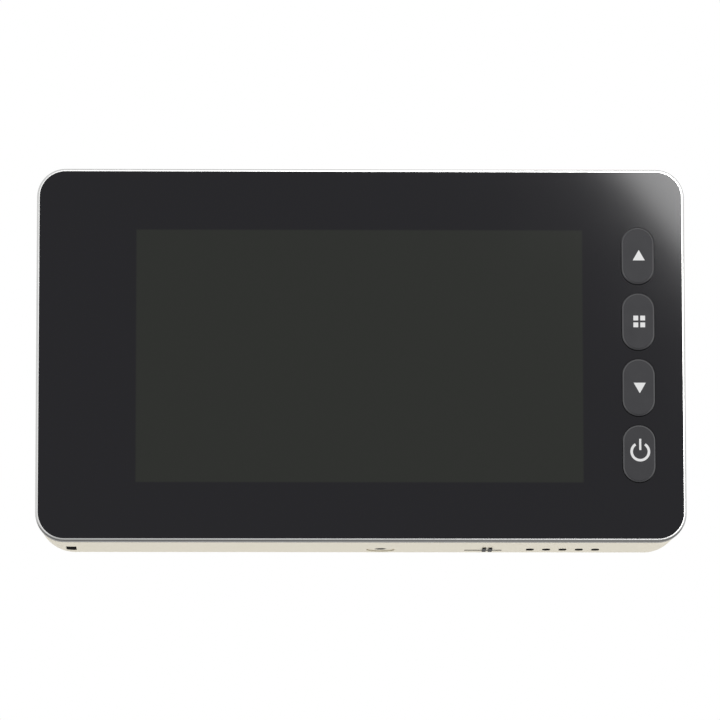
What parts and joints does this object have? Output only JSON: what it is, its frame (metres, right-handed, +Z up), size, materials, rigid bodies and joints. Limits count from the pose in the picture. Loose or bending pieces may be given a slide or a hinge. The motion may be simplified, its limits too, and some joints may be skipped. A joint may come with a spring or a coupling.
{
  "type": "peephole door camera",
  "caption": "Door viewer: a slim indoor monitor with a key column hangs on a bracket, joined through the door by a barrel to an outdoor camera with a bell push.",
  "frame": {"origin": "axis of the hole through the door, at the door's inner face", "axes": "+Y out through the door, away from the screen; +Z up; +X to the right as the screen is seen"},
  "size_m": [0.1382, 0.0824, 0.0802],
  "materials": {
    "panel_acrylic": "polished black acrylic, back-printed",
    "adhesive": "adhesive film",
    "bright_ring": "bright plated",
    "housing_plastic": "champagne silver paint, satin",
    "inner_plastic": "black moulded",
    "key_plastic": "dark grey moulded, printed signs",
    "slider_plastic": "black moulded",
    "screen_glass": "screen glass over a dark filter",
    "sheet_steel": "pressed, plated",
    "flex_film": "amber film",
    "board_laminate": "green solder mask",
    "chip_resin": "black resin",
    "cell_sleeve": "shrink sleeve with bare poles",
    "contact_metal": "nickel plated",
    "screw_steel": "zinc plated",
    "bracket_steel": "zinc plated, pressed",
    "foam": "closed-cell foam",
    "ribbon_film": "flat cable, pale sleeve",
    "plug_plastic": "natural nylon",
    "barrel_metal": "die-cast, turned",
    "camera_metal": "die-cast, satin silver paint",
    "face_acrylic": "polished black acrylic",
    "lens_black": "anodised black",
    "lens_clear": "coated lens",
    "lamp_resin": "tinted resin",
    "speaker_parts": "black frame, steel magnet cup"
  },
  "bodies": {
    "door_set": {"bracket": "bracket_steel", "bracket_pad": "foam", "clamp_screws": "screw_steel", "ribbon_cable": "ribbon_film", "ribbon_plug": "plug_plastic", "door_barrel": "barrel_metal", "outdoor_gasket": "foam", "outdoor_housing": "camera_metal", "face_seal": "foam", "outdoor_face": "face_acrylic", "lens_ring": "bright_ring", "lens_holder": "lens_black", "lens_barrel": "lens_black", "lens_glass": "lens_clear", "rear_lens": "lens_clear", "image_sensor": "chip_resin", "camera_board": "board_laminate", "camera_board_screws": "screw_steel", "infrared_lamps": "lamp_resin", "bell_ring": "bright_ring", "bell_switch": "chip_resin"},
    "monitor": {"battery_cells": "cell_sleeve", "battery_contacts": "contact_metal", "bezel_ring": "bright_ring", "board_chips": "chip_resin", "board_screws": "screw_steel", "flex_socket": "plug_plastic", "front_frame": "inner_plastic", "front_panel": "panel_acrylic", "housing_screws": "screw_steel", "key_board": "board_laminate", "key_header": "inner_plastic", "key_switches": "chip_resin", "lcd_chassis": "sheet_steel", "lcd_flex": "flex_film", "lcd_panel": "screen_glass", "main_board": "board_laminate", "panel_tape": "adhesive", "rear_housing": "housing_plastic", "ribbon_socket": "plug_plastic", "shield_can": "sheet_steel", "slide_switch": "sheet_steel", "speaker": "speaker_parts", "speaker_gasket": "foam"},
    "button_up": {"button_up": "key_plastic"},
    "button_menu": {"button_menu": "key_plastic"},
    "button_down": {"button_down": "key_plastic"},
    "button_power": {"button_power": "key_plastic"},
    "power_slider": {"power_slider": "slider_plastic"},
    "battery_cover": {"battery_cover": "housing_plastic"},
    "lock_screw": {"lock_screw": "screw_steel"},
    "bell_button": {"bell_button": "camera_metal"}
  },
  "joints": [
    {"name": "monitor_lift", "type": "slide", "parent": "door_set", "child": "monitor", "axis": [0, 0, 1], "range_m": [0, 0.0055]},
    {"name": "press_up", "type": "slide", "parent": "monitor", "child": "button_up", "axis": [0, 1, 0], "range_m": [0, 0.00035], "stiffness_N_per_m": 3000},
    {"name": "press_menu", "type": "slide", "parent": "monitor", "child": "button_menu", "axis": [0, 1, 0], "range_m": [0, 0.00035], "stiffness_N_per_m": 3000},
    {"name": "press_down", "type": "slide", "parent": "monitor", "child": "button_down", "axis": [0, 1, 0], "range_m": [0, 0.00035], "stiffness_N_per_m": 3000},
    {"name": "press_power", "type": "slide", "parent": "monitor", "child": "button_power", "axis": [0, 1, 0], "range_m": [0, 0.00035], "stiffness_N_per_m": 3000},
    {"name": "power_slide", "type": "slide", "parent": "monitor", "child": "power_slider", "axis": [1, 0, 0], "range_m": [-0.0016, 0]},
    {"name": "cover_tilt", "type": "hinge", "parent": "monitor", "child": "battery_cover", "pos_m": [-0.0459, -0.0008, 0.02925], "axis": [1, 0, 0], "range_deg": [0, 60]},
    {"name": "lock_screw_out", "type": "slide", "parent": "monitor", "child": "lock_screw", "axis": [0, 0, -1], "range_m": [0, 0.009]},
    {"name": "bell_press", "type": "slide", "parent": "door_set", "child": "bell_button", "axis": [0, -1, 0], "range_m": [0, 0.0006], "stiffness_N_per_m": 2500}
  ]
}
